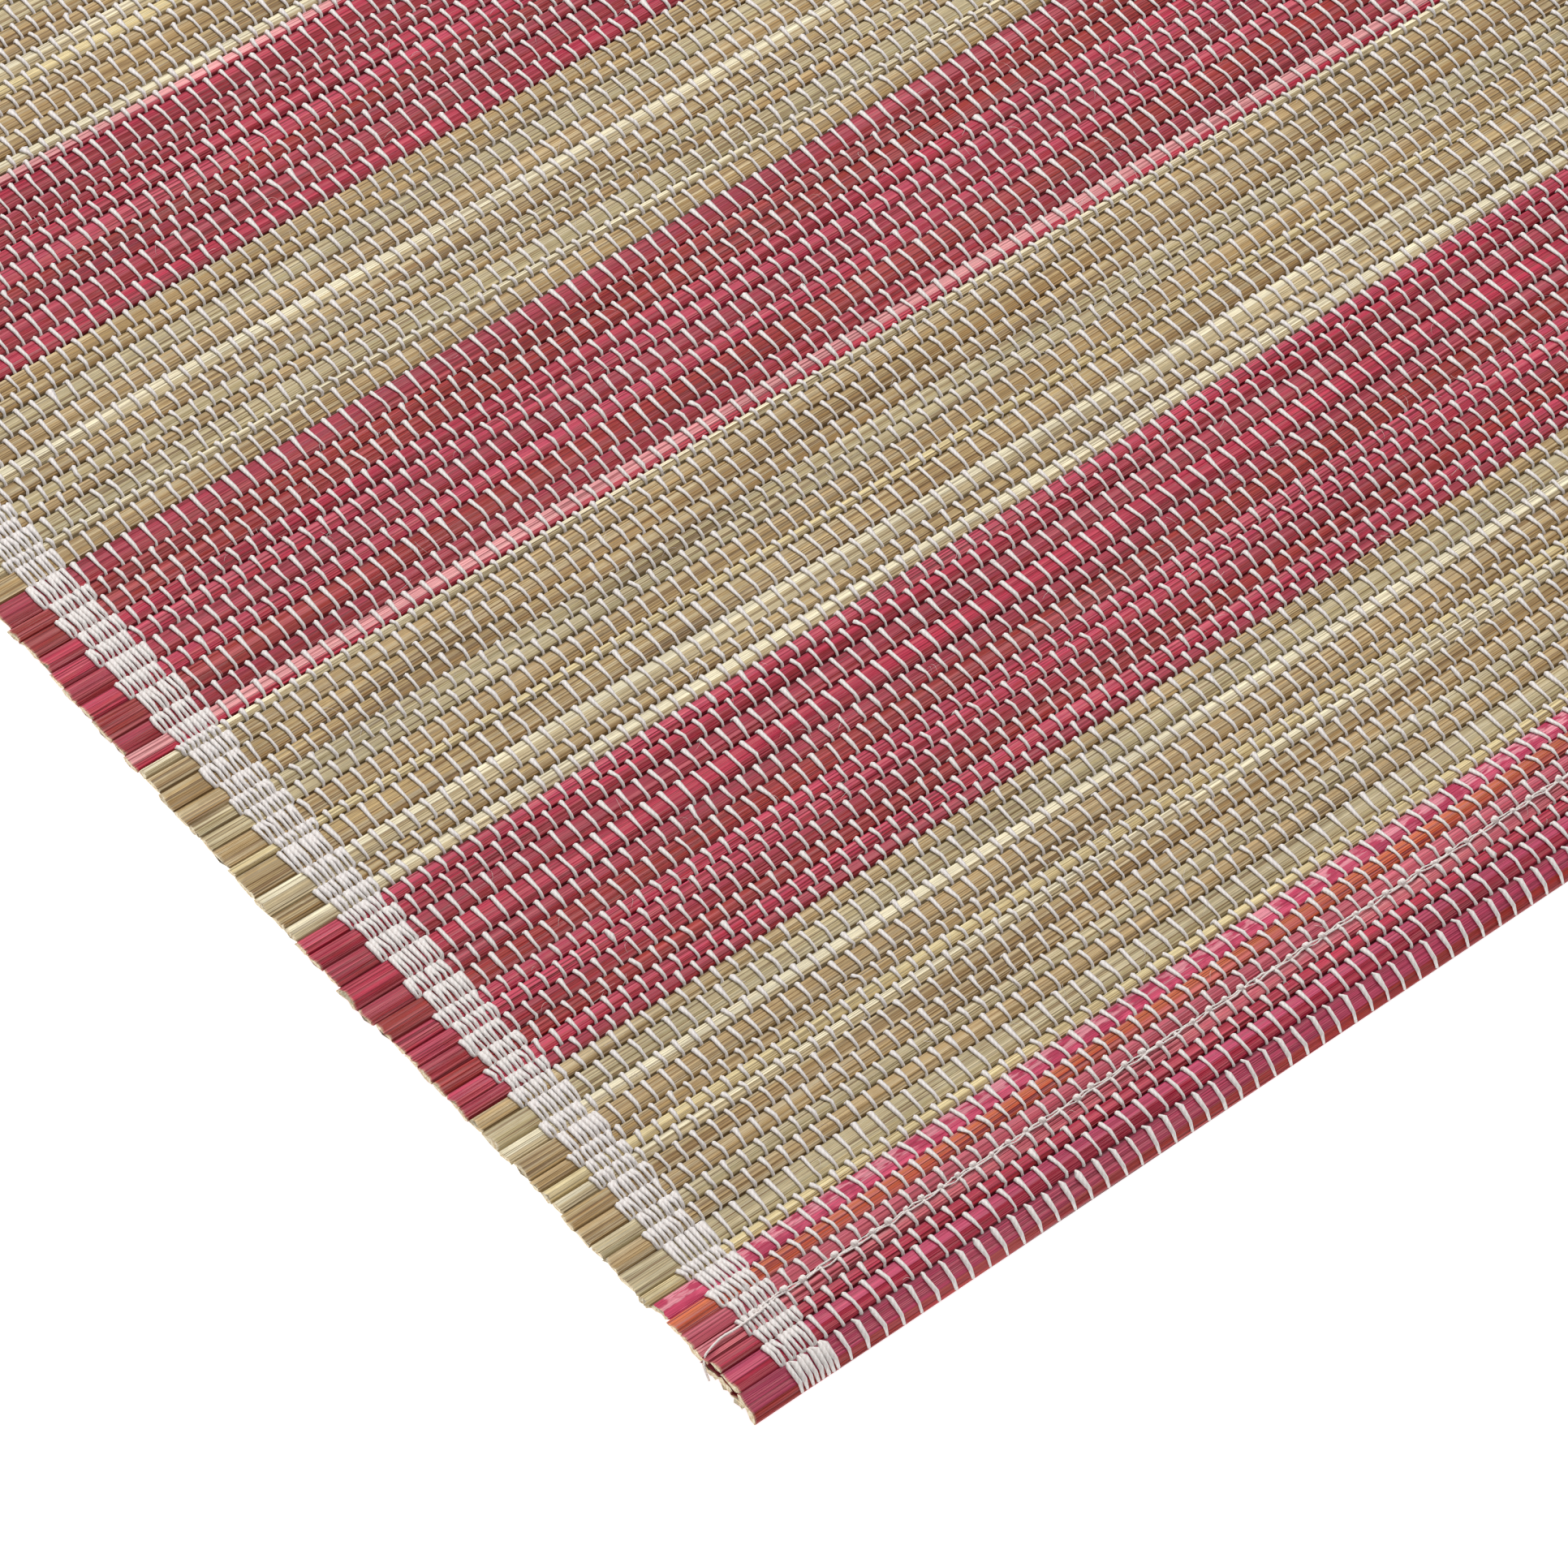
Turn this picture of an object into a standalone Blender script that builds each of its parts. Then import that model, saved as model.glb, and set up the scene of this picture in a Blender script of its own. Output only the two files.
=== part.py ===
# Bamboo placemat: split bamboo woven with cotton yarn, in rose and natural stripes.
# Metres, +Z up. The splints run along X. The mat rests on Z = 0, centred on the origin.
# It is one piece of cloth, with a hem turned under along each of its two long edges.

import math
from collections import namedtuple

import bmesh
import bpy

# Driving sizes of the cloth
MAT_LENGTH = 0.450  # along the splints, from cut end to cut end
CLOTH_THICKNESS = 0.0021  # a splint with a yarn over it and a yarn under it
CLOTH_GROOVE = 0.00045  # depth between two woven splints, on each face
SPLINT_THICKNESS = 0.0011
SPLINT_GROOVE = 0.0003  # depth between two bare splint ends, on each face
CROWN_START = 0.22  # the flat crown of a splint, in shares of its width
CROWN_END = 0.78
BARE_END = 0.0082  # splint that shows beyond the outermost yarn
END_SLOPE = 0.0008  # length over which the woven part thins to the bare end

# Driving sizes of a hem
UNDER_SPLINTS = 4  # splints turned under, behind the one that lies on the fold
LAYER_GAP = 0.00035  # between the hem and the cloth above it
FOLD_RUN = 0.0020  # how far the splint on the fold leans in on its way up
TOE_REACH = 1.5  # outer corner of the fold, in half thicknesses from the toe's middle
CROTCH = 1.2  # inner crowns closer to the toe than this are left out, in thicknesses
PLATEAU = 0.0125  # the upper layer lies level over the hem for this far, in from the fold
RAMP = 0.0110  # and comes down to the surface over this length
EDGE_SPLINTS = 15  # splints that a hem and its ramp take together

LOW = CLOTH_THICKNESS / 2  # middle of a layer that lies on the surface
LIFT = CLOTH_THICKNESS + LAYER_GAP  # from there to the middle of the layer above it

# Widths of the splints, from the finest to the broadest
GAUGES = {"a": 0.0020, "b": 0.0026, "c": 0.0031, "d": 0.0036, "e": 0.0043, "f": 0.0051}

Stripe = namedtuple("Stripe", "dye width splints")

# The stripes from the raw edge of the near hem to that of the far one, and the gauges of
# their splints in the same order
STRIPES = (
    Stripe("rose", 0.0395, "cdcdfebccde"),
    Stripe("natural", 0.0428, "bfdcddbbbecec"),
    Stripe("rose", 0.0421, "bccdccedfedc"),
    Stripe("natural", 0.0413, "ccefaeccdeda"),
    Stripe("rose", 0.0402, "ddfdeddecf"),
    Stripe("natural", 0.0381, "eaebcddeecd"),
    Stripe("rose", 0.0369, "efccedbdfb"),
    Stripe("natural", 0.0404, "beeccdcdecbd"),
    Stripe("rose", 0.0393, "dceccdfcddc"),
)

# Linear colour and roughness of each kind of splint
FINISHES = {
    "rose": ((0.40, 0.062, 0.090, 1.0), 0.55),
    "natural": ((0.47, 0.36, 0.21, 1.0), 0.60),
}


def splint_list():
    """Width and dye of every splint, each stripe fitted to its own width."""
    splints = []
    for stripe in STRIPES:
        widths = [GAUGES[letter] for letter in stripe.splints]
        fit = stripe.width / sum(widths)
        splints += [(width * fit, stripe.dye) for width in widths]
    return splints


def upper_height(run):
    """Middle of the upper layer, by its distance in from the fold."""
    share = min(max((run - PLATEAU) / RAMP, 0.0), 1.0)
    return LOW + LIFT * (1.0 - share * share * (3.0 - 2.0 * share))


def turned_edge(widths):
    """The joints between splints as (y, z): from the raw edge out to the toe, then over
    the fold and back in, down to the surface. Y runs inward from the toe."""
    under = widths[:UNDER_SPLINTS]
    joints = [(sum(under[first:]), LOW) for first in range(UNDER_SPLINTS + 1)]
    y, z = FOLD_RUN, LOW + LIFT
    joints.append((y, z))
    for width in widths[UNDER_SPLINTS + 1 :]:
        next_z = upper_height(y - FOLD_RUN + width)
        y += math.sqrt(width**2 - (next_z - z) ** 2)
        z = next_z
        joints.append((y, z))
    return joints


def cloth_joints(widths):
    """All joints of the cloth, with the indices of the two toes."""
    near = turned_edge(widths[:EDGE_SPLINTS])
    far = turned_edge(widths[: -EDGE_SPLINTS - 1 : -1])
    joints = list(near)
    for width in widths[EDGE_SPLINTS:-EDGE_SPLINTS]:
        joints.append((joints[-1][0] + width, LOW))
    turned_y = joints[-1][0] + far[-1][0]
    joints += [(turned_y - y, z) for y, z in reversed(far[:-1])]
    return joints, (UNDER_SPLINTS, len(joints) - 1 - UNDER_SPLINTS)


def outward(start, end):
    """Unit vector on the outer side of a splint, which is its face side above the hems."""
    dy, dz = end[0] - start[0], end[1] - start[1]
    length = math.hypot(dy, dz)
    return -dz / length, dy / length


def section(joints, toes, crown, groove):
    """Closed outline of the cloth across its splints, as (y, z, splint) points. Crown is
    the distance of a splint's crown from its middle."""
    sides = [outward(*pair) for pair in zip(joints, joints[1:])]
    last = len(sides) - 1
    outer, inner = [], []
    for index, (y, z) in enumerate(joints):
        before, after = sides[max(index - 1, 0)], sides[min(index, last)]
        lean = math.hypot(before[0] + after[0], before[1] + after[1])
        side = (before[0] + after[0]) / lean, (before[1] + after[1]) / lean
        reach = (crown - groove) / (side[0] * after[0] + side[1] * after[1])
        outer_reach = TOE_REACH * crown if index in toes else reach
        outer.append((y + side[0] * outer_reach, z + side[1] * outer_reach, index))
        inner.append((y - side[0] * reach, z - side[1] * reach, index))
        if index > last:
            break
        end_y, end_z = joints[index + 1]
        for share in (CROWN_START, CROWN_END):
            mid_y, mid_z = y + (end_y - y) * share, z + (end_z - z) * share
            outer.append((mid_y + after[0] * crown, mid_z + after[1] * crown, index))
            from_toe = min(math.dist((mid_y, mid_z), joints[toe]) for toe in toes)
            if from_toe > CROTCH * CLOTH_THICKNESS:
                inner.append((mid_y - after[0] * crown, mid_z - after[1] * crown, index))
    return outer + inner[::-1]


def finish(name):
    colour, roughness = FINISHES[name]
    material = bpy.data.materials.new(name + "_bamboo")
    material.use_nodes = True
    shader = material.node_tree.nodes["Principled BSDF"]
    shader.inputs["Base Color"].default_value = colour
    shader.inputs["Roughness"].default_value = roughness
    shader.inputs["Metallic"].default_value = 0.0
    material.diffuse_color = colour
    return material


def woven_mat(collection):
    """The whole mat: a loft from the bare end section to the thicker woven one and back."""
    splints = splint_list()
    joints, toes = cloth_joints([width for width, dye in splints])
    bare = section(joints, toes, SPLINT_THICKNESS / 2, SPLINT_GROOVE)
    woven = section(joints, toes, CLOTH_THICKNESS / 2, CLOTH_GROOVE)
    middle = (min(point[0] for point in woven) + max(point[0] for point in woven)) / 2
    half = MAT_LENGTH / 2
    yarns_end = half - BARE_END
    stations = (
        (-half, bare),
        (-yarns_end, bare),
        (-yarns_end + END_SLOPE, woven),
        (yarns_end - END_SLOPE, woven),
        (yarns_end, bare),
        (half, bare),
    )

    dyes = list(FINISHES)
    shape = bmesh.new()
    rings = [[shape.verts.new((x, y - middle, z)) for y, z, _ in ring] for x, ring in stations]
    count = len(bare)
    for ring, next_ring in zip(rings, rings[1:]):
        for index in range(count):
            after = (index + 1) % count
            face = shape.faces.new(
                (ring[index], ring[after], next_ring[after], next_ring[index])
            )
            splint = min(bare[index][2], bare[after][2], len(splints) - 1)
            face.material_index = dyes.index(splints[splint][1])
    for ring in (rings[0], rings[-1]):
        cap = shape.faces.new(ring)
        cap.material_index = dyes.index("natural")
    bmesh.ops.recalc_face_normals(shape, faces=shape.faces)

    mesh = bpy.data.meshes.new("woven_mat")
    shape.to_mesh(mesh)
    shape.free()
    for name in dyes:
        mesh.materials.append(finish(name))
    mat = bpy.data.objects.new("woven_mat", mesh)
    collection.objects.link(mat)
    return mat


def main():
    for thing in list(bpy.data.objects):
        bpy.data.objects.remove(thing, do_unlink=True)
    collection = bpy.data.collections.new("bamboo_placemat")
    bpy.context.scene.collection.children.link(collection)
    woven_mat(collection)


main()
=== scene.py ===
import math

import bpy
import numpy as np
from mathutils import Matrix, Vector


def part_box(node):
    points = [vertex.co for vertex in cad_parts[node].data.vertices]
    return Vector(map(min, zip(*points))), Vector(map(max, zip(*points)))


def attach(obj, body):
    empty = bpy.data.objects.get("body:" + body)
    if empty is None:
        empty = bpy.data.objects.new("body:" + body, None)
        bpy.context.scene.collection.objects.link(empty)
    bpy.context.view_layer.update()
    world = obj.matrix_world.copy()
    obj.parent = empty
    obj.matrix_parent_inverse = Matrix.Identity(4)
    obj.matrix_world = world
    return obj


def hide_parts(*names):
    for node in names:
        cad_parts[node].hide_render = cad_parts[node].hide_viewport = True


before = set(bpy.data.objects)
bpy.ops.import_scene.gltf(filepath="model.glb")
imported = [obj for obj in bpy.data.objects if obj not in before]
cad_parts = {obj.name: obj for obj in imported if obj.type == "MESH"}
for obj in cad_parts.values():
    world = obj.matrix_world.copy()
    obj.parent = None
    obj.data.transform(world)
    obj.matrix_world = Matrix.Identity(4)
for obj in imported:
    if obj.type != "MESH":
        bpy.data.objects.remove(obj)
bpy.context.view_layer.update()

rng = np.random.default_rng(7)


# Layout of the cloth, the same as the solid's: splints from the near raw edge to the far one

cloth = {
    "length": 0.450,  # along the splints
    "thickness": 0.0021,
    "splintThickness": 0.0011,
    "bareEnd": 0.0082,
    "underSplints": 4,  # turned under behind the splint on each fold
    "layerGap": 0.00035,
    "foldRun": 0.0020,
    "toeReach": 1.5,
    "plateau": 0.0125,
    "ramp": 0.0110,
    "edgeSplints": 15,
    "pitch": 0.00165,  # from one yarn to the next
}

gauges = {"a": 0.0020, "b": 0.0026, "c": 0.0031, "d": 0.0036, "e": 0.0043, "f": 0.0051}

# dye, width of the stripe, gauge of each splint, tone of each splint
stripes = (
    ("rose", 0.0395, "cdcdfebccde", "bmcbfrcqsow"),
    ("natural", 0.0428, "bfdcddbbbecec", "ygtgtnkyttkgt"),
    ("rose", 0.0421, "bccdccedfedc", "mhbmhhbmcmch"),
    ("natural", 0.0413, "ccefaeccdeda", "knknytggnntk"),
    ("rose", 0.0402, "ddfdeddecf", "pmbhmhcbbm"),
    ("natural", 0.0381, "eaebcddeecd", "tkgtgnktgnt"),
    ("rose", 0.0369, "efccedbdfb", "cmmbhcmmcp"),
    ("natural", 0.0404, "beeccdcdecbd", "knttyktngytg"),
    ("rose", 0.0393, "dceccdfcddc", "mhbchmbmcbm"),
)

# tone of a splint: colour of its top, colour of its near side (its dye, darkened with painted shade), how
# mottled, how streaked
tones = {
    "b": ((148, 44, 38), (138, 36, 28), 0.10, 0.85),  # brick
    "c": ((173, 42, 66), (137, 20, 34), 0.15, 0.70),  # crimson
    "h": ((187, 65, 87), (172, 45, 61), 0.35, 0.95),  # hot pink
    "m": ((157, 53, 68), (143, 35, 41), 0.15, 0.70),  # mauve
    "o": ((194, 100, 62), (182, 76, 44), 0.00, 1.10),  # orange brick
    "r": ((184, 68, 100), (150, 18, 46), 0.10, 0.50),  # raspberry
    "s": ((196, 98, 112), (180, 76, 90), 0.15, 0.60),  # soft pink
    "p": ((224, 156, 156), (182, 42, 64), 0.10, 0.80),  # pale over crimson
    "q": ((212, 130, 136), (202, 102, 110), 0.30, 1.20),  # pale, striped with dye
    "w": ((218, 136, 150), (202, 74, 106), 1.00, 0.30),  # pale, blotched with dye
    "f": ((172, 60, 88), (158, 42, 32), 0.15, 0.60),  # mauve top, partly a painted sheen, over a brick near side, partly painted shade, on the fold
    "t": ((182, 154, 110), (166, 136, 90), 0.20, 0.85),  # tan
    "g": ((185, 169, 132), (176, 159, 118), 0.15, 0.90),  # grey tan
    "y": ((216, 197, 148), (187, 164, 114), 0.15, 0.70),  # straw
    "n": ((177, 150, 104), (153, 121, 75), 0.30, 0.95),  # brown
    "k": ((234, 223, 191), (192, 173, 134), 0.10, 0.65),  # cream
}


def splintList():
    rows = []
    for dye, stripeWidth, gaugeCodes, toneCodes in stripes:
        fit = stripeWidth / sum(gauges[code] for code in gaugeCodes)
        rows += [(gauges[code] * fit, dye, tone) for code, tone in zip(gaugeCodes, toneCodes)]
    return rows


def upperHeight(run):
    low, lift = cloth["thickness"] / 2, cloth["thickness"] + cloth["layerGap"]
    share = min(max((run - cloth["plateau"]) / cloth["ramp"], 0.0), 1.0)
    return low + lift * (1.0 - share * share * (3.0 - 2.0 * share))


def turnedEdge(widths):
    under = widths[: cloth["underSplints"]]
    joints = [(sum(under[first:]), cloth["thickness"] / 2) for first in range(len(under) + 1)]
    y, z = cloth["foldRun"], upperHeight(0.0)
    joints.append((y, z))
    for width in widths[len(under) + 1 :]:
        nextZ = upperHeight(y - cloth["foldRun"] + width)
        y += math.sqrt(width**2 - (nextZ - z) ** 2)
        z = nextZ
        joints.append((y, z))
    return joints


def clothJoints(widths):
    edge = cloth["edgeSplints"]
    joints = turnedEdge(widths[:edge])
    far = turnedEdge(widths[: -edge - 1 : -1])
    for width in widths[edge:-edge]:
        joints.append((joints[-1][0] + width, cloth["thickness"] / 2))
    turnedY = joints[-1][0] + far[-1][0]
    joints += [(turnedY - y, z) for y, z in reversed(far[:-1])]
    return np.array(joints)


def unit(vectors):
    return vectors / np.linalg.norm(vectors, axis=-1, keepdims=True)


splintRows = splintList()
widths = np.array([row[0] for row in splintRows])
splintCount = len(splintRows)
joints = clothJoints(list(widths))
nearFold = cloth["underSplints"]
farFold = splintCount - 1 - nearFold

# The solid's box says where the outer corner of the near fold lies
boxLow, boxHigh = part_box("woven_mat")
foldWay = unit(joints[nearFold + 1] - joints[nearFold])
toeSide = unit(np.array([-foldWay[1], foldWay[0] - 1.0]))
toeCorner = cloth["toeReach"] * cloth["thickness"] / 2 * toeSide[0]
joints[:, 0] += boxLow[1] - toeCorner - joints[nearFold, 0]

# Where each splint starts and ends across the cloth. The one on a fold reaches round the toe.
foldFit = {"toe": (-0.00195, -0.00068), "stand": 0.0001, "pull": 0.0005}
starts, ends = joints[:-1].copy(), joints[1:].copy()
for fold, toe, inner, under, inward in (
    (nearFold, starts, ends, nearFold - 1, 1.0),
    (farFold, ends, starts, farFold + 1, -1.0),
):
    toe[fold] += np.array([foldFit["toe"][0] * inward, foldFit["toe"][1]])
    inner[fold] += np.array([-foldFit["stand"] * inward, foldFit["stand"]])
    (ends if under < fold else starts)[under][0] += inward * foldFit["pull"]

across = unit(ends - starts)
outer = np.stack([-across[:, 1], across[:, 0]], axis=1)  # the face side
span = np.linalg.norm(ends - starts, axis=1)
knots = np.concatenate([starts[:1] - across[:1] * 0.0004, (ends[:-1] + starts[1:]) / 2,
                        ends[-1:] + across[-1:] * 0.0004])
print("cloth laid out:", splintCount, "splints")


# Small unevenness that all of the cloth shares, as woven by hand

sway = {"across": 0.00022, "lift": 0.00008}


def settle(points):
    x, y, z = points[..., 0], points[..., 1], points[..., 2]
    bend = np.sin(x * 21.0 + 0.8) * 0.6 + np.sin(x * 47.0 + y * 9.0 + 2.1) * 0.4
    calm = np.clip(1.0 - (np.abs(y) / boxHigh[1]) ** 6, 0.0, 1.0)
    lift = np.sin(x * 33.0 + 1.0) * np.sin(y * 38.0 + 0.4) + 1.0
    points[..., 1] = y + bend * calm * sway["across"]
    points[..., 2] = z + lift * calm * sway["lift"]
    return points


# Building helpers: many swept pieces joined in one mesh

def sweptMesh(name, points, along, around):
    # points: piece, station, side, xyz. along: piece, station. around: piece, station, side + 1
    count, stations, sides = points.shape[:3]
    ids = np.arange(count * stations * sides, dtype=np.int32).reshape(count, stations, sides)
    turned = np.roll(ids, -1, axis=2)
    quads = np.stack([ids[:, :-1], ids[:, 1:], turned[:, 1:], turned[:, :-1]], axis=-1)
    caps = np.stack([ids[:, 0], ids[:, -1, ::-1]], axis=1)
    quadCount = quads.size // 4
    corners = np.concatenate([quads.ravel(), caps.ravel()])
    firsts = np.concatenate([np.arange(quadCount) * 4,
                             quadCount * 4 + np.arange(count * 2) * sides])
    mesh = bpy.data.meshes.new(name)
    mesh.vertices.add(ids.size)
    mesh.vertices.foreach_set("co", points.astype(np.float32).ravel())
    mesh.loops.add(len(corners))
    mesh.loops.foreach_set("vertex_index", corners.astype(np.int32))
    mesh.polygons.add(len(firsts))
    mesh.polygons.foreach_set("loop_start", firsts.astype(np.int32))

    uvAlong = np.broadcast_to(along[:, :, None], (count, stations, sides))
    cornerAlong = np.stack([uvAlong[:, :-1], uvAlong[:, 1:], uvAlong[:, 1:], uvAlong[:, :-1]], -1)
    low, high = around[..., :-1], around[..., 1:]
    cornerAround = np.stack([low[:, :-1], low[:, 1:], high[:, 1:], high[:, :-1]], -1)
    capAlong = np.stack([uvAlong[:, 0], uvAlong[:, -1, ::-1]], axis=1)
    capAround = np.stack([low[:, 0], low[:, -1, ::-1]], axis=1)
    uv = np.stack([np.concatenate([cornerAlong.ravel(), capAlong.ravel()]),
                   np.concatenate([cornerAround.ravel(), capAround.ravel()])], axis=1)
    mesh.uv_layers.new(name="grain")
    mesh.uv_layers["grain"].data.foreach_set("uv", uv.astype(np.float32).ravel())
    mesh.update(calc_edges=True)
    return mesh


def addPiece(name, mesh, materials):
    piece = bpy.data.objects.new(name, mesh)
    bpy.context.scene.collection.objects.link(piece)
    for material in materials:
        mesh.materials.append(material)
    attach(piece, "root")
    return piece


def ringPoints(centres, sideWay, upWay, halfWidth, halfHeight, sides, turn=0.0):
    angles = turn + np.arange(sides) * 2.0 * math.pi / sides
    ring = (np.cos(angles)[:, None] * (sideWay * halfWidth[..., None])[..., None, :]
            + np.sin(angles)[:, None] * (upWay * halfHeight[..., None])[..., None, :])
    return centres[..., None, :] + ring


def lengthsAlong(centres):
    steps = np.linalg.norm(np.diff(centres, axis=1), axis=2)
    return np.concatenate([np.zeros((len(centres), 1)), np.cumsum(steps, axis=1)], axis=1)


def freeTubes(name, centres, radii, sides):
    # round tubes through any points; centres: piece, station, xyz
    ways = unit(np.gradient(centres, axis=1))
    up = np.array([0.13, 0.21, 0.97])
    sideWay = unit(np.cross(ways, up))
    upWay = np.cross(sideWay, ways)
    points = ringPoints(centres, sideWay, upWay, radii, radii, sides)
    around = np.broadcast_to(np.arange(sides + 1) / sides, points.shape[:2] + (sides + 1,))
    return sweptMesh(name, points, lengthsAlong(centres), around)


# Materials

def linear(colour, alpha=1.0):
    parts = [value / 255.0 for value in colour]
    return tuple(((part + 0.055) / 1.055) ** 2.4 if part > 0.04045 else part / 12.92
                 for part in parts) + (alpha,)


def addNode(tree, kind, **values):
    node = tree.nodes.new(kind)
    for key, value in values.items():
        setattr(node, key, value)
    return node


def mathNode(tree, operation, first, second, clamp=False):
    node = addNode(tree, "ShaderNodeMath", operation=operation, use_clamp=clamp)
    for socket, value in zip(node.inputs, (first, second)):
        if isinstance(value, (int, float)):
            socket.default_value = value
        else:
            tree.links.new(value, socket)
    return node.outputs[0]


def mixColour(tree, factor, first, second, blend="MIX"):
    node = addNode(tree, "ShaderNodeMix", data_type="RGBA", blend_type=blend)
    for socket, value in ((node.inputs[0], factor), (node.inputs[6], first), (node.inputs[7], second)):
        if isinstance(value, (int, float, tuple)):
            socket.default_value = value
        else:
            tree.links.new(value, socket)
    return node.outputs[2]


def stretchedNoise(tree, vector, scale, detail, low=0.0, high=1.0):
    mapping = addNode(tree, "ShaderNodeMapping")
    mapping.inputs["Scale"].default_value = scale
    tree.links.new(vector, mapping.inputs["Vector"])
    noise = addNode(tree, "ShaderNodeTexNoise")
    noise.inputs["Scale"].default_value = 1.0
    noise.inputs["Detail"].default_value = detail
    tree.links.new(mapping.outputs["Vector"], noise.inputs["Vector"])
    if (low, high) == (0.0, 1.0):
        return noise.outputs["Fac"]
    spread = addNode(tree, "ShaderNodeMapRange", interpolation_type="SMOOTHSTEP")
    spread.inputs["From Min"].default_value = low
    spread.inputs["From Max"].default_value = high
    tree.links.new(noise.outputs["Fac"], spread.inputs["Value"])
    return spread.outputs["Result"]


def splintGrainGroup():
    # lengthwise fibres of split bamboo: colour and height from a tone
    group = bpy.data.node_groups.new("splintGrain", "ShaderNodeTree")
    face = group.interface
    for name, kind in (("Vector", "NodeSocketVector"), ("Tone", "NodeSocketColor"),
                       ("Pale", "NodeSocketColor"), ("Deep", "NodeSocketColor"),
                       ("Line", "NodeSocketColor"),
                       ("Mottle", "NodeSocketFloat"), ("Fibre", "NodeSocketFloat")):
        face.new_socket(name, in_out="INPUT", socket_type=kind)
    for name, kind in (("Colour", "NodeSocketColor"), ("Height", "NodeSocketFloat"),
                       ("Roughness", "NodeSocketFloat")):
        face.new_socket(name, in_out="OUTPUT", socket_type=kind)
    source = group.nodes.new("NodeGroupInput")
    result = group.nodes.new("NodeGroupOutput")
    vector = source.outputs["Vector"]

    fine = stretchedNoise(group, vector, (40.0, 4300.0, 1.0), 2.0, 0.32, 0.68)
    broad = stretchedNoise(group, vector, (12.0, 1250.0, 1.0), 2.0, 0.44, 0.64)
    pores = stretchedNoise(group, vector, (24.0, 2300.0, 1.0), 1.0, 0.52, 0.64)
    blotches = stretchedNoise(group, vector, (230.0, 620.0, 1.0), 5.0, 0.46, 0.57)
    patches = stretchedNoise(group, vector, (26.0, 160.0, 1.0), 2.0, 0.30, 0.70)

    shade = mathNode(group, "MULTIPLY_ADD", fine, 0.46)
    shade.node.inputs[2].default_value = 0.77
    drift = mathNode(group, "MULTIPLY_ADD", patches, 0.20)
    drift.node.inputs[2].default_value = 0.90
    shade = mathNode(group, "MULTIPLY", shade, drift)
    streak = mathNode(group, "MULTIPLY", source.outputs["Fibre"], 0.80)
    paleShare = mathNode(group, "MULTIPLY", broad, streak)
    lineShare = mathNode(group, "MULTIPLY", pores, streak)
    deepShare = mathNode(group, "MULTIPLY", blotches, source.outputs["Mottle"])
    pale = mixColour(group, 0.55, source.outputs["Tone"], source.outputs["Pale"])
    colour = mixColour(group, paleShare, source.outputs["Tone"], pale)
    colour = mixColour(group, deepShare, colour, source.outputs["Deep"])
    colour = mixColour(group, lineShare, colour, source.outputs["Line"])
    grey = addNode(group, "ShaderNodeCombineColor")
    for socket in grey.inputs:
        group.links.new(shade, socket)
    colour = mixColour(group, 1.0, colour, grey.outputs[0], "MULTIPLY")
    group.links.new(colour, result.inputs["Colour"])

    height = mathNode(group, "MULTIPLY_ADD", broad, 0.6)
    group.links.new(fine, height.node.inputs[2])
    height = mathNode(group, "SUBTRACT", height, pores)
    group.links.new(height, result.inputs["Height"])
    rough = mathNode(group, "MULTIPLY_ADD", fine, 0.18)
    rough.node.inputs[2].default_value = 0.38
    group.links.new(rough, result.inputs["Roughness"])
    return group


def bump(tree, shader, height, strength, distance):
    node = addNode(tree, "ShaderNodeBump")
    node.inputs["Strength"].default_value = strength
    node.inputs["Distance"].default_value = distance
    tree.links.new(height, node.inputs["Height"])
    tree.links.new(node.outputs["Normal"], shader.inputs["Normal"])


def newMaterial(name, roughness):
    material = bpy.data.materials.new(name)
    material.use_nodes = True
    shader = material.node_tree.nodes["Principled BSDF"]
    shader.inputs["Roughness"].default_value = roughness
    return material, material.node_tree, shader


def splintMaterial(name, group, pale, deep, line):
    material, tree, shader = newMaterial(name, 0.5)
    grain = addNode(tree, "ShaderNodeGroup", node_tree=group)
    coordinate = addNode(tree, "ShaderNodeUVMap", uv_map="grain")
    tone = addNode(tree, "ShaderNodeAttribute", attribute_name="tone")
    mottle = addNode(tree, "ShaderNodeAttribute", attribute_name="mottle")
    fibre = addNode(tree, "ShaderNodeAttribute", attribute_name="fibre")
    tree.links.new(coordinate.outputs["UV"], grain.inputs["Vector"])
    tree.links.new(tone.outputs["Color"], grain.inputs["Tone"])
    tree.links.new(mottle.outputs["Fac"], grain.inputs["Mottle"])
    tree.links.new(fibre.outputs["Fac"], grain.inputs["Fibre"])
    grain.inputs["Pale"].default_value = linear(pale)
    grain.inputs["Deep"].default_value = linear(deep)
    grain.inputs["Line"].default_value = linear(line)
    tree.links.new(grain.outputs["Colour"], shader.inputs["Base Color"])
    tree.links.new(grain.outputs["Roughness"], shader.inputs["Roughness"])
    shader.inputs["Specular IOR Level"].default_value = 0.22
    bump(tree, shader, grain.outputs["Height"], 0.6, 0.00014)
    return material


def cutMaterial():
    # pale fibre ends where the splints were cut
    material, tree, shader = newMaterial("cutBamboo", 0.85)
    place = addNode(tree, "ShaderNodeTexCoord").outputs["Object"]
    fleck = stretchedNoise(tree, place, (2600.0, 2600.0, 2600.0), 2.0, 0.35, 0.70)
    colour = mixColour(tree, fleck, linear((238, 226, 198)), linear((204, 178, 138)))
    tree.links.new(colour, shader.inputs["Base Color"])
    bump(tree, shader, fleck, 0.6, 0.0001)
    return material


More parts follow.
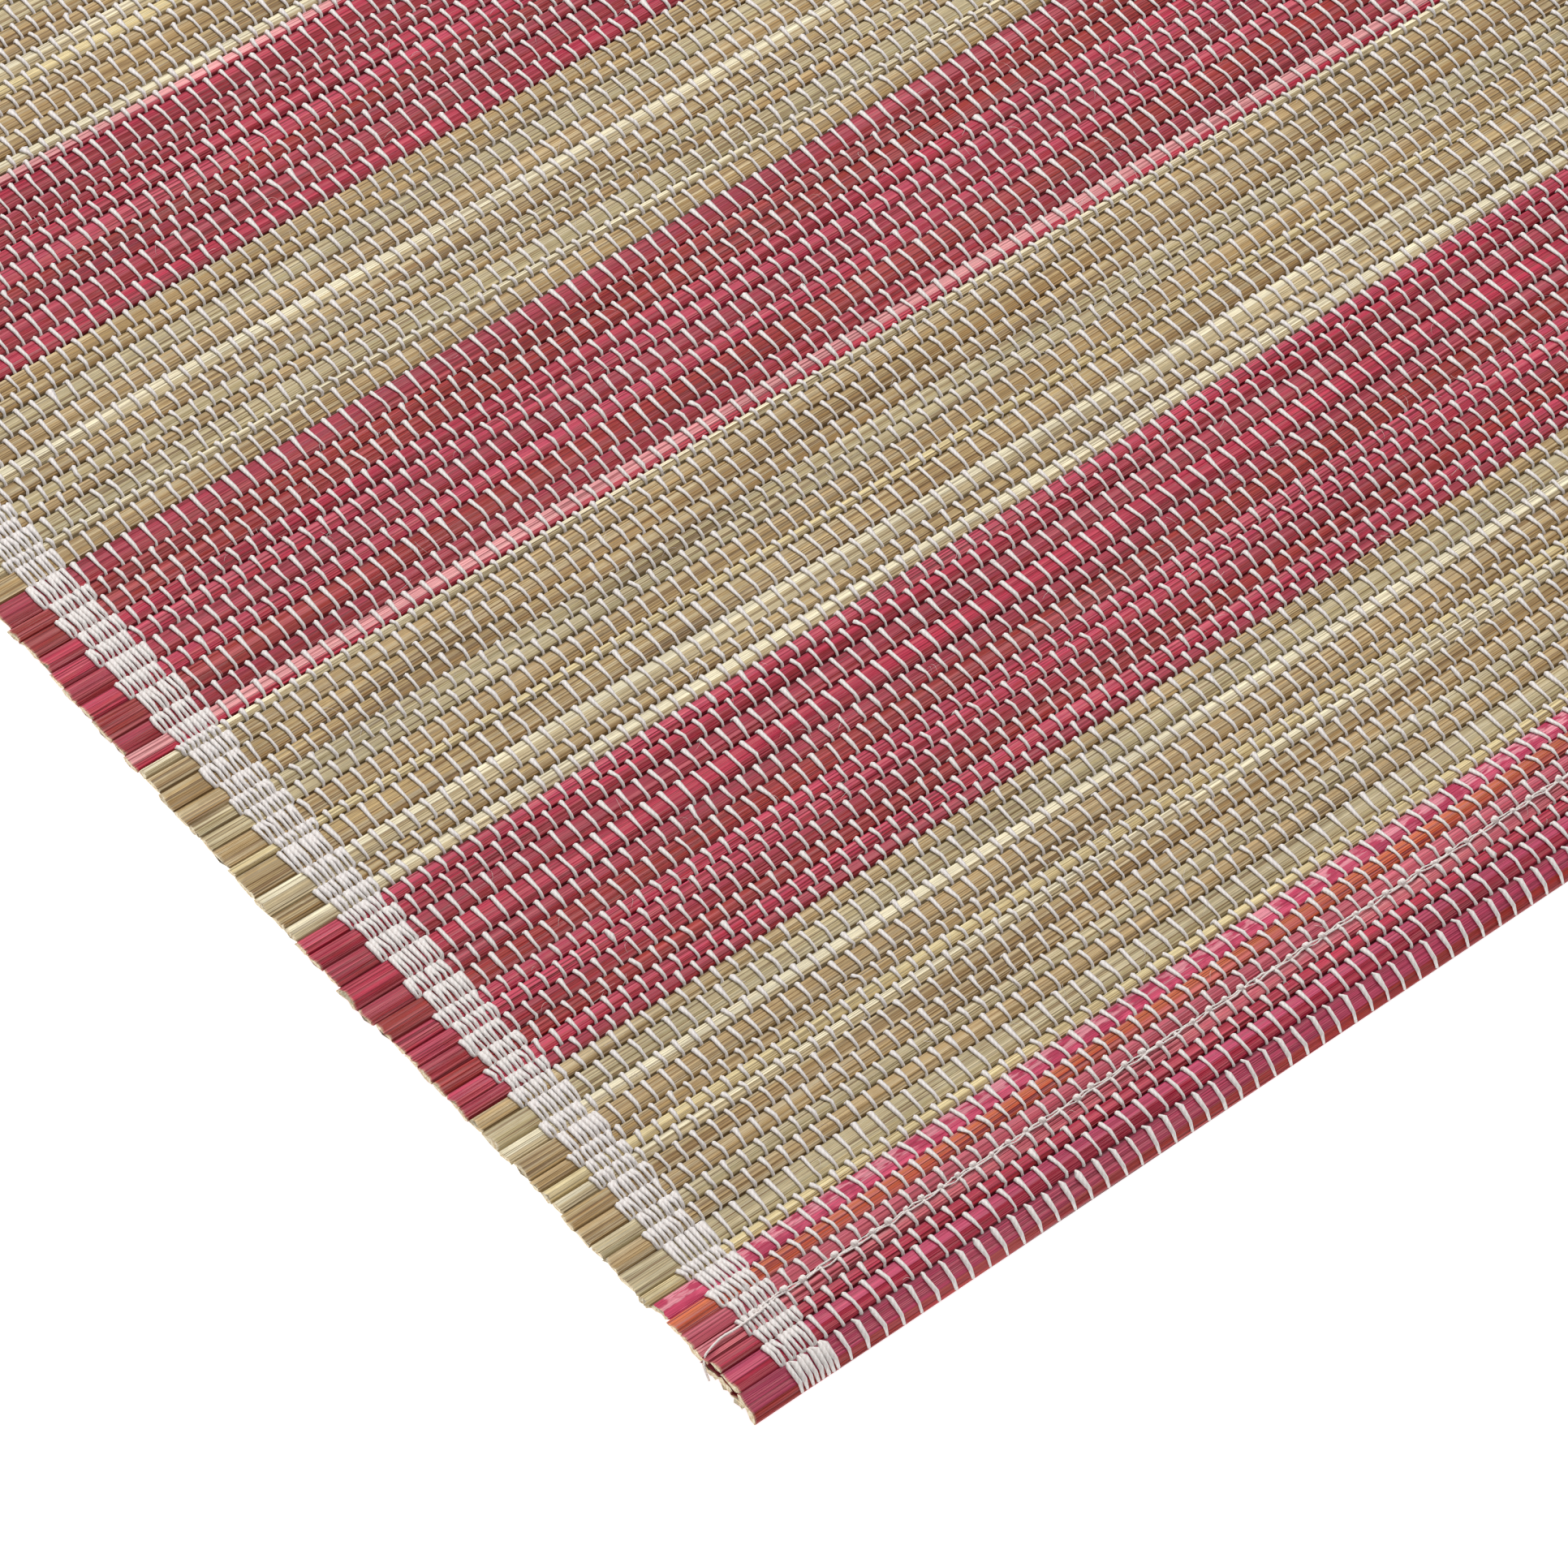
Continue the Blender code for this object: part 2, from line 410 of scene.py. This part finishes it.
def yarnMaterial(name, colour, shadow, twist):
    # spun cotton: twist lines round the yarn, with painted shade in their grooves, fuzz in its colour
    material, tree, shader = newMaterial(name, 0.92)
    shader.inputs["Sheen Weight"].default_value = 0.25
    shader.inputs["Sheen Roughness"].default_value = 0.5
    shader.inputs["Specular IOR Level"].default_value = 0.2
    coordinate = addNode(tree, "ShaderNodeUVMap", uv_map="grain").outputs["UV"]
    parts = addNode(tree, "ShaderNodeSeparateXYZ")
    tree.links.new(coordinate, parts.inputs[0])
    turns = mathNode(tree, "MULTIPLY", parts.outputs[0], twist)
    phase = mathNode(tree, "ADD", turns, mathNode(tree, "MULTIPLY", parts.outputs[1], 2.0))
    wave = mathNode(tree, "SINE", mathNode(tree, "MULTIPLY", phase, 2.0 * math.pi), 0.0)
    fuzz = stretchedNoise(tree, coordinate, (5200.0, 9.0, 1.0), 3.0)
    height = mathNode(tree, "MULTIPLY_ADD", wave, 0.22)
    tree.links.new(fuzz, height.node.inputs[2])
    # low in the twist and fuzz, the colour goes toward the painted shade colour
    share = mathNode(tree, "SUBTRACT", 1.05, height, clamp=True)
    colour = mixColour(tree, share, linear(colour), linear(shadow))
    tree.links.new(colour, shader.inputs["Base Color"])
    bump(tree, shader, height, 0.5, 0.00012)
    return material


grainGroup = splintGrainGroup()
roseBamboo = splintMaterial("roseBamboo", grainGroup, (208, 122, 126), (180, 52, 86), (108, 16, 26))
naturalBamboo = splintMaterial("naturalBamboo", grainGroup, (216, 204, 172), (150, 118, 76), (112, 82, 48))
cutBamboo = cutMaterial()
warpCotton = yarnMaterial("warpCotton", (247, 243, 239), (218, 208, 204), 1100.0)
sewingCotton = yarnMaterial("sewingCotton", (250, 246, 242), (228, 212, 206), 2200.0)
print("materials made")


# Splints

splintShape = {
    "stations": 36,
    "gap": 0.00023,  # between two splints above the line where they touch
    "roof": 0.45,  # how much higher a ridge stands, in half thicknesses
    "uneven": 0.035,  # how far a splint's width wanders along it
    "foldBow": 0.75,  # extra rise of the chip that wraps the fold
    "sideShade": {"rose": 0.32, "natural": 0.50},  # how dark painted shade makes its narrow sides in the grooves, by dye
    "shoulderShade": 0.70,
    "underRise": 0.0009,  # the turned-under splints rise to the others at the cut ends
    "thinEnd": 0.55,  # how much of its thickness a splint loses toward the cut, below
    "raggedEnd": 0.00016,
    "fadeEnd": 0.0004,
}

# Outline of a splint: share of its half width, share of its half thickness. The fifth is its ridge.
splintOutline = np.array([
    (-1.00, -0.55), (-0.99, 0.28), (-0.92, 0.58), (-0.62, 0.78), (-0.20, 1.00), (0.42, 0.90),
    (0.86, 0.64), (0.99, 0.10), (1.00, -0.55), (0.66, -0.92), (0.00, -1.00), (-0.66, -0.92),
])
ridgePoint = 4
touchPoint = 8  # where it meets the next splint, below the groove. The first point meets the other.


def slowWaves(stationX, count, rate, seed):
    # a smooth random curve along each splint, between about -1 and 1
    waves = np.random.default_rng(seed)
    total = np.zeros((count, len(stationX)))
    for share, speed in ((0.6, rate), (0.4, rate * 2.3)):
        phase = waves.uniform(0.0, 2.0 * math.pi, (count, 1))
        pace = waves.uniform(0.7, 1.3, (count, 1)) * speed
        total += share * np.sin(stationX[None, :] * pace + phase)
    return total


ridgeShare = rng.uniform(-0.50, 0.10, splintCount)  # where each splint's ridge runs
roofRise = rng.uniform(0.05, 1.0, splintCount) ** 1.5 * splintShape["roof"]
for fold in (nearFold, farFold):
    ridgeShare[fold] = 0.22 if fold == farFold else -0.22
    roofRise[fold] = splintShape["foldBow"]
ridgeShare[nearFold + 1], roofRise[nearFold + 1] = -0.08, 0.60
for index, row in enumerate(splintRows):
    if row[2] == "p":
        ridgeShare[index], roofRise[index] = -0.42, 0.20
halfThick = cloth["splintThickness"] / 2 * rng.uniform(0.92, 1.0, splintCount)
halfThick[[nearFold, farFold]] *= 1.25

# How far the near cut ends stand in from a straight line, by their place across the cloth
edgeBow = {
    "place": (-0.1655, -0.161, -0.157, -0.154, -0.150, -0.146, -0.133, -0.100, -0.067, -0.034,
              -0.014, 0.011, 0.023, 0.060, 0.165),
    "reach": (-0.0002, 0.0009, 0.0008, 0.0006, 0.0004, 0.0007, 0.0009, 0.0006, 0.0000, 0.0004,
              0.0009, 0.0013, 0.0013, 0.0007, 0.0),
}
endReach = rng.normal(0.0, 0.00020, (splintCount, 2))
endReach[:, 0] += np.interp(joints[:-1, 0], edgeBow["place"], edgeBow["reach"])
endReach[:nearFold, 0] += (0.0004, -0.0001, -0.0003, -0.0005)
endReach[:, 1] -= 0.0004 * np.sin(joints[:-1, 0] * 31.0 + 0.7)


def makeSplints():
    half = cloth["length"] / 2
    inside = np.linspace(-half + 0.002, half - 0.002, splintShape["stations"] - 2)
    stationX = np.concatenate([[-half], inside, [half]])
    stationX[1], stationX[-2] = -half + splintShape["fadeEnd"], half - splintShape["fadeEnd"]
    stations = len(stationX)

    shape = np.broadcast_to(splintOutline, (splintCount, stations, len(splintOutline), 2)).copy()
    roof = roofRise[:, None] * (1.0 + 0.5 * slowWaves(stationX, splintCount, 40.0, 11))
    ridge = ridgeShare[:, None] + 0.10 * slowWaves(stationX, splintCount, 25.0, 12)
    flanks = np.clip(1.0 - np.abs(shape[..., 0] - ridge[..., None]) / 0.95, 0.0, 1.0)
    upper = shape[..., 1] > 0.0
    shape[..., 1] += np.where(upper, flanks * roof[..., None], 0.0)
    shape[:, :, ridgePoint, 0] = ridge
    for fold in (nearFold, farFold):
        hollow = np.array([9, 10, 11])
        shape[fold][:, hollow, 1] += np.array([0.25, 0.75, 0.25])
    jitter = rng.normal(0.0, 0.022, shape.shape[:1] + (1,) + shape.shape[2:])
    wobble = rng.normal(0.0, 0.014, shape.shape)
    shape += jitter + wobble
    shape[..., 0] = np.clip(shape[..., 0], -1.0, 1.0)

    narrow = 1.0 - splintShape["gap"] / span
    breadth = 1.0 + splintShape["uneven"] * (slowWaves(stationX, splintCount, 55.0, 13) - 0.6)
    breadth += 0.055 * np.clip((np.abs(stationX) - half) / 0.012 + 1.0, 0.0, 1.0)
    shape[..., 0] *= np.minimum(breadth * narrow[:, None], 1.03)[..., None]
    shape[:, :, 0, 0], shape[:, :, touchPoint, 0] = -1.03, 1.03
    middle = (starts + ends) / 2
    flat = (middle[:, None, None] + across[:, None, None] * (shape[..., :1] * span[:, None, None, None] / 2)
            + outer[:, None, None] * (shape[..., 1:] * halfThick[:, None, None, None]))
    x = np.broadcast_to(stationX[None, :, None], flat.shape[:3]).copy()
    nearEnd = np.clip((np.abs(stationX) - half) / 0.006 + 1.0, 0.0, 1.0)
    under = np.zeros(splintCount)
    under[:nearFold] = under[farFold + 1 :] = splintShape["underRise"]
    flat[..., 1] += under[:, None, None] * nearEnd[None, :, None]
    flat[..., 1] += (1.0 - shape[..., 1]) * (nearEnd * splintShape["thinEnd"])[None, :, None] * 0.00027
    ragged = rng.normal(0.0, splintShape["raggedEnd"], (splintCount, 2, x.shape[2]))
    x[:, :2] += (endReach[:, 0, None] + ragged[:, 0])[:, None]
    x[:, -2:] += (endReach[:, 1, None] + ragged[:, 1])[:, None]
    points = settle(np.concatenate([x[..., None], flat], axis=3))

    edge = np.linalg.norm(np.diff(np.concatenate([flat, flat[:, :, :1]], axis=2), axis=2), axis=3)
    around = np.concatenate([np.zeros(edge.shape[:2] + (1,)), np.cumsum(edge, axis=2)], axis=2)
    around = around.mean(axis=1, keepdims=True) + rng.uniform(0.0, 3.0, (splintCount, 1, 1))
    around = np.broadcast_to(around, edge.shape[:2] + (edge.shape[2] + 1,))
    along = np.broadcast_to(stationX, (splintCount, stations)) + rng.uniform(0, 9, (splintCount, 1))
    mesh = sweptMesh("bamboo_splints", points, along, around)

    quadsEach = (stations - 1) * len(splintOutline)
    slotOf = np.array([0 if row[1] == "rose" else 1 for row in splintRows])
    kinds = np.concatenate([np.repeat(slotOf, quadsEach), np.full(splintCount * 2, 2)])
    mesh.polygons.foreach_set("material_index", kinds.astype(np.int32))
    pointsEach = stations * len(splintOutline)
    toneRows = [tones[row[2]] for row in splintRows]
    fade = np.array(linear((206, 186, 152)))
    ringTop, ringNearShaded = (np.array([linear(row[side]) for row in toneRows]) for side in (0, 1))
    # the near half of the outline takes the near-side tone, its dye darkened with painted shade
    onNear = np.zeros(len(splintOutline), bool)
    onNear[:ridgePoint] = True
    faceTone = np.where(onNear[None, :, None], ringNearShaded[:, None], ringTop[:, None])
    faceTone[farFold] = np.where(onNear[:, None], ringTop[farFold], ringNearShaded[farFold])
    cornerTone = np.broadcast_to(faceTone[:, None, :, None], (splintCount, stations - 1,
                                 len(splintOutline), 4, 4)).copy()
    closeness = np.clip((np.abs(stationX[:-1]) - half) / 0.012 + 1.0, 0.0, 1.0)
    # painted shade: the narrow side walls in the grooves are darkened, less toward the cut ends
    grooveShadeByDye = np.array([splintShape["sideShade"][row[1]] for row in splintRows])
    sideShade = np.minimum(grooveShadeByDye[:, None] * (1.0 + 1.8 * closeness), 1.0)[..., None, None]
    for flank in (0, len(splintOutline) - 5):
        cornerTone[:, :, flank] *= sideShade
    # painted shade on the far shoulder, which would otherwise catch a bright line of light
    cornerTone[:, :, len(splintOutline) - 6] *= splintShape["shoulderShade"]
    cornerTone[:, 0, :, (0, 3)] = cornerTone[:, 0, :, (0, 3)] * 0.4 + fade * 0.6
    cornerTone[:, -1, :, (1, 2)] = cornerTone[:, -1, :, (1, 2)] * 0.4 + fade * 0.6
    capTone = np.broadcast_to(fade, (splintCount * 2 * len(splintOutline), 4))
    tone = mesh.attributes.new("tone", "FLOAT_COLOR", "CORNER")
    allTones = np.concatenate([cornerTone.reshape(-1, 4), capTone])
    tone.data.foreach_set("color", allTones.astype(np.float32).ravel())
    for name, column in (("mottle", 2), ("fibre", 3)):
        values = np.repeat([row[column] for row in toneRows], pointsEach)
        mesh.attributes.new(name, "FLOAT", "POINT").data.foreach_set("value", values.astype(np.float32))

    piece = addPiece("bamboo_splints", mesh, (roseBamboo, naturalBamboo, cutBamboo))
    mesh.shade_smooth()
    mesh.set_sharp_from_angle(angle=math.radians(24))
    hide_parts("woven_mat")
    return piece


splints = makeSplints()
print("splints made:", len(splints.data.polygons), "faces")


# Warp yarns

yarn = {
    "halfWidth": 0.00035,
    "halfHeight": 0.00027,
    "wander": 0.00006,
    "jitter": 0.00006,
    "lean": 0.00015,  # how far a knuckle sits to one side
    "uneven": 0.12,  # spread of its thickness
    "slubShare": 0.004,
    "edgeYarns": 8,  # in each closely set edge, two strands each
    "edgeWidth": 0.0078,
    "strandHalf": 0.00040,
    "pieces": 4,
}

# Stations of a yarn over a splint: share of the half width, thickness, extra lift.
# It leaves the groove at the far side as a thick knuckle and thins toward the near side.
overStations = ((-0.84, 0.74, -0.06), (0.0, 0.98, 0.0), (0.84, 1.34, 0.50))
underStations = ((-0.62, 1.0, 0.0), (0.62, 1.0, 0.0))


def surfaceRise(index, share, side):
    # how far the splint's face is from its middle, on the face side or the back
    if side < 0:
        return halfThick[index] * (0.95 if abs(share) < 0.5 else 0.82)
    outline = splintOutline[1:8]
    rise = np.interp(share, outline[:, 0], outline[:, 1])
    flank = max(0.0, 1.0 - abs(share - ridgeShare[index]) / 0.95)
    return halfThick[index] * (rise + roofRise[index] * flank)


def crossingRoute(first):
    # a yarn's route in the (y, z) plane: first is 1 if it passes over the first splint
    route, firmness, role = [], [], []
    for index in range(splintCount):
        side = 1.0 if (index + first) % 2 else -1.0
        route.append(knots[index])
        firmness.append(0.85)
        role.append(0)
        for number, (share, thick, lift) in enumerate(overStations if side > 0 else underStations):
            if side > 0 and number == 1:
                share = ridgeShare[index]
            rise = surfaceRise(index, share, side) + yarn["halfHeight"] * (0.84 + lift)
            half = span[index] / 2
            route.append((starts[index] + ends[index]) / 2 + across[index] * share * half
                         + outer[index] * side * rise)
            firmness.append(thick)
            role.append(number + 1 if side > 0 else 0)
    route.append(knots[-1])
    firmness.append(0.85)
    role.append(0)
    return np.array(route), np.array(firmness), np.array(role)


routes = [crossingRoute(first) for first in (0, 1)]


def makeYarns(name, places, parity, halfWidth, seed, spread=None):
    # spread moves a strand sideways where it lies over a splint
    draws = np.random.default_rng(seed)
    meshes = []
    for side in (0, 1):
        route, firmness, role = routes[side]
        chosen = places[parity == side]
        count, stations = len(chosen), len(route)
        centres = np.empty((count, stations, 3))
        centres[..., 1:] = route
        slow = slowWaves(route[:, 0], count, 60.0, seed + side)
        jitter = draws.normal(0.0, yarn["jitter"], (count, stations))
        jitter += draws.normal(0.0, yarn["lean"], (count, stations)) * (role == 3)
        centres[..., 0] = chosen[:, None] + slow * yarn["wander"] + jitter
        if spread is not None:
            centres[..., 0] += spread[parity == side][:, None] * (role > 0)
        centres = settle(centres)
        flow = np.gradient(centres, axis=1)
        flow[..., 0] = 0.0
        flow = unit(flow)
        sideWay = np.broadcast_to(np.array([1.0, 0.0, 0.0]), centres.shape)
        upWay = np.cross(sideWay, flow)
        size = firmness[None, :] * draws.normal(1.0, yarn["uneven"], (count, stations)).clip(0.75, 1.3)
        slubs = draws.random((count, stations)) < yarn["slubShare"]
        size = size * np.where(slubs, 1.5, 1.0)
        high = np.minimum(size, 1.25) * yarn["halfHeight"]
        points = ringPoints(centres, sideWay, upWay, size * halfWidth, high, 4)
        points[..., 2] = np.maximum(points[..., 2], 0.00002)
        around = np.broadcast_to(np.arange(5) / 4.0 + seed * 0.37, (count, stations, 5))
        along = lengthsAlong(centres) + draws.uniform(0.0, 5.0, (count, 1))
        meshes.append(sweptMesh(name + str(side), points, along, around))
    return joinMeshes(name, meshes)


def joinMeshes(name, meshes):
    objects = []
    for mesh in meshes:
        thing = bpy.data.objects.new(mesh.name, mesh)
        bpy.context.scene.collection.objects.link(thing)
        objects.append(thing)
    bpy.ops.object.select_all(action="DESELECT")
    for thing in objects:
        thing.select_set(True)
    bpy.context.view_layer.objects.active = objects[0]
    bpy.ops.object.join()
    joined = objects[0]
    joined.name = name
    joined.data.name = name
    joined.data.shade_smooth()
    return joined


def finishPiece(piece, material):
    piece.data.materials.clear()
    piece.data.materials.append(material)
    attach(piece, "root")
    return piece


halfLength = cloth["length"] / 2
fieldStart = -halfLength + cloth["bareEnd"] + yarn["edgeWidth"]
fieldCount = round(-2 * fieldStart / cloth["pitch"])
fieldPlaces = fieldStart + (np.arange(fieldCount) + 0.5) * (-2 * fieldStart / fieldCount)
fieldParity = np.arange(fieldCount) % 2
for number, chosen in enumerate(np.array_split(np.arange(fieldCount), yarn["pieces"])):
    piece = makeYarns(f"warp_yarns_{number + 1}", fieldPlaces[chosen], fieldParity[chosen],
                      yarn["halfWidth"], 100 + number)
    finishPiece(piece, warpCotton)

edgePitch = yarn["edgeWidth"] / yarn["edgeYarns"]
edgePlaces, edgeParity, edgeSpread = [], [], []
for side in (-1.0, 1.0):
    for number in range(yarn["edgeYarns"]):
        middle = side * (halfLength - cloth["bareEnd"] - edgePitch * (number + 0.5))
        for strand in (-1.0, 1.0):
            edgePlaces.append(middle + strand * 0.22 * edgePitch)
            edgeSpread.append(strand * 0.25 * edgePitch)
            edgeParity.append(number % 2)
piece = makeYarns("edge_yarns", np.array(edgePlaces), np.array(edgeParity), yarn["strandHalf"], 200,
                  np.array(edgeSpread))
finishPiece(piece, warpCotton)


# Sewing along the hems, loose threads and fuzz

trim = {
    "sewRadius": 0.00017,
    "sewInset": 0.00055,  # in from the joint that the sewing follows
    "knotRadius": 0.00050,
    "hairs": 1100,
    "hairRadius": 0.000027,
}


def faceHeight(index, share):
    # middle of a splint and the point above its face, at a share of its half width
    middle = (starts[index] + ends[index]) / 2 + across[index] * share * span[index] / 2
    return middle + outer[index] * surfaceRise(index, share, 1.0)


def makeSewing():
    draws = np.random.default_rng(301)
    strands, thick, knotCentres, knotSize = [], [], [], []
    for splint, inward in ((7, 1.0), (splintCount - 8, -1.0)):
        over = fieldPlaces[fieldParity == (splint + 1) % 2]
        share = inward * (1.0 - trim["sewInset"] * 2 / span[splint])
        base = faceHeight(splint, share)
        for strand in (0, 1):
            x = np.linspace(over[0] - 0.006, over[-1] + 0.006, len(over) * 4 + 9)
            y = base[0] + inward * (strand - 0.4) * -0.0004
            drift = slowWaves(x, 1, 900.0, 310 + strand + splint)[0] * 0.00022
            lift = 0.00042 + 0.00014 * np.abs(slowWaves(x, 1, 1900.0, 320 + strand + splint)[0])
            centre = np.stack([x, y + drift, np.full(len(x), base[1]) + lift], axis=1)
            strands.append(centre)
            thick.append(trim["sewRadius"] * draws.normal(1.0, 0.18, len(x)).clip(0.6, 1.5))
        keep = draws.random(len(over)) < 0.92
        places = over[keep] + draws.normal(0.0, 0.00012, keep.sum())
        top = faceHeight(splint, inward * 0.80)
        knot = np.stack([places, np.full(len(places), top[0]), np.full(len(places), top[1])], axis=1)
        knot[:, 1] += draws.normal(0.0, 0.00012, len(places))
        knot[:, 2] += 0.00062
        knotCentres.append(knot)
        knotSize.append(trim["knotRadius"] * draws.uniform(0.8, 1.25, len(places)))
    meshes = [freeTubes("sewing", settle(np.array([centre])), np.array([radii]), 4)
              for centre, radii in zip(strands, thick)]
    knots = np.concatenate(knotCentres)
    sizes = np.concatenate(knotSize)
    steps = np.array([-0.95, -0.55, 0.1, 0.65, 0.98])
    centres = np.repeat(knots[:, None], len(steps), axis=1)
    centres[..., 0] += steps * sizes[:, None] * 1.15
    centres[..., 1] += draws.normal(0.0, 0.00004, centres.shape[:2])
    radii = sizes[:, None] * np.sqrt(1.0 - (steps * 0.97) ** 2) * draws.uniform(0.85, 1.15, centres.shape[:2])
    meshes.append(freeTubes("knots", settle(centres), radii, 6))
    return finishPiece(joinMeshes("hem_sewing", meshes), sewingCotton)


def smoothPath(points, steps):
    # a smooth curve through a few points
    points = np.array(points)
    padded = np.concatenate([2 * points[:1] - points[1:2], points, 2 * points[-1:] - points[-2:-1]])
    share = np.linspace(0.0, 1.0, steps, endpoint=False)[:, None]
    parts = []
    for before, first, last, after in zip(padded, padded[1:], padded[2:], padded[3:]):
        parts.append(0.5 * (2 * first + (last - before) * share
                            + (2 * before - 5 * first + 4 * last - after) * share**2
                            + (3 * first - before - 3 * last + after) * share**3))
    parts.append(points[-1:])
    return np.concatenate(parts)


def makeFuzz():
    draws = np.random.default_rng(401)
    count, stations = trim["hairs"], 6
    index = draws.integers(nearFold, farFold + 1, count)
    share = draws.uniform(-0.9, 0.9, count)
    root = np.array([faceHeight(i, s) for i, s in zip(index, share)])
    x = draws.uniform(-halfLength + cloth["bareEnd"], halfLength - cloth["bareEnd"], count)
    heading = draws.uniform(0.0, 2 * math.pi, count)
    bend = draws.normal(0.0, 1.1, count)
    reach = draws.uniform(0.0012, 0.0042, count)
    crest = draws.uniform(0.0002, 0.0009, count)
    step = np.linspace(0.0, 1.0, stations)
    turn = heading[:, None] + bend[:, None] * step
    run = np.cumsum(np.stack([np.cos(turn), np.sin(turn)], -1), axis=1) * (reach / stations)[:, None, None]
    centres = np.empty((count, stations, 3))
    centres[..., 0] = x[:, None] + run[..., 0]
    centres[..., 1] = root[:, 0, None] + run[..., 1]
    arch = np.sin(step * math.pi)[None, :] * crest[:, None]
    centres[..., 2] = root[:, 1, None] + 0.00025 + arch
    level = np.abs(centres[..., 1]) < 0.138
    centres = centres[level.all(axis=1) | (draws.random(count) < 0.3)]
    radii = np.full(centres.shape[:2], trim["hairRadius"]) * np.linspace(1.2, 0.6, stations)
    meshes = [freeTubes("hairs", settle(centres), radii, 3)]

    # the loose thread that hangs over the cut ends at the near corner
    near, cut = joints[11, 0], -halfLength + endReach[7, 0]
    path = smoothPath([(-0.2128, near - 0.0119, 0.00470), (-0.2180, near - 0.0121, 0.00465),
                       (-0.2208, near - 0.0120, 0.00462), (cut + 0.0010, near - 0.0126, 0.00455),
                       (cut + 0.0001, near - 0.0129, 0.00380), (cut - 0.0004, near - 0.0137, 0.00240),
                       (cut - 0.0006, near - 0.0150, 0.00110)], 6)
    radii = 0.00020 * draws.uniform(0.85, 1.15, len(path))
    meshes.append(freeTubes("loose", path[None], radii[None], 6))
    return finishPiece(joinMeshes("loose_threads", meshes), sewingCotton)


makeSewing()
makeFuzz()
print("sewing and fuzz made")


# Floor, light and camera

studio = {
    "lens": 160.25,
    "azimuth": 42.10,
    "elevation": 51.66,
    "roll": 3.474,
    "fromCorner": (-224.56, -262.45, 512.22),  # yarn pitches from where the first stripe ends
    "planeHeight": 0.0022,
}


def addCamera():
    bpy.ops.object.camera_add()
    camera = bpy.context.object
    camera.data.lens = studio["lens"]
    camera.data.sensor_width = 36.0
    camera.data.clip_start = 0.01
    camera.data.clip_end = 20.0
    azimuth, elevation, roll = (math.radians(studio[key]) for key in ("azimuth", "elevation", "roll"))
    forward = Vector((math.sin(azimuth) * math.cos(elevation), math.cos(azimuth) * math.cos(elevation),
                      -math.sin(elevation)))
    level = Vector((math.cos(azimuth), -math.sin(azimuth), 0.0))
    rise = level.cross(forward)
    right = level * math.cos(roll) + rise * math.sin(roll)
    up = right.cross(forward)
    turn = Matrix((right, up, -forward)).transposed().to_4x4()
    firstStripe = joints[len(stripes[0][2])]
    x, y, z = (value * cloth["pitch"] for value in studio["fromCorner"])
    camera.matrix_world = Matrix.Translation(
        (x - halfLength, y + firstStripe[0], z + studio["planeHeight"])) @ turn
    bpy.context.scene.camera = camera
    return camera


def addLight(name, place, aim, size, watts):
    bpy.ops.object.light_add(type="AREA", location=place)
    light = bpy.context.object
    light.name = name
    light.data.shape = "DISK"
    light.data.size = size
    light.data.energy = watts
    light.rotation_euler = (Vector(aim) - Vector(place)).to_track_quat("-Z", "Y").to_euler()
    return light


def addFloor():
    bpy.ops.mesh.primitive_plane_add(size=12.0, location=(0.0, 0.0, 0.0))
    floor = bpy.context.object
    floor.name = "floor"
    material, tree, shader = newMaterial("palePaper", 0.9)
    shader.inputs["Base Color"].default_value = (0.94, 0.94, 0.94, 1.0)
    shader.inputs["Emission Color"].default_value = (1.0, 1.0, 1.0, 1.0)
    shader.inputs["Emission Strength"].default_value = 0.80
    shader.inputs["Specular IOR Level"].default_value = 0.1
    floor.data.materials.append(material)


bpy.ops.object.select_all(action="DESELECT")
addFloor()
addCamera()
addLight("softbox", (0.40, 1.10, 1.65), (0.0, 0.0, 0.0), 1.3, 40.0)
addLight("fill", (-0.9, -0.6, 1.5), (0.0, 0.0, 0.0), 1.4, 3.0)
world = bpy.data.worlds.new("studio")
world.use_nodes = True
world.node_tree.nodes["Background"].inputs["Color"].default_value = (1.0, 1.0, 1.0, 1.0)
world.node_tree.nodes["Background"].inputs["Strength"].default_value = 0.36
bpy.context.scene.world = world
bpy.context.scene.view_settings.view_transform = "Standard"
print("floor, light and camera placed")
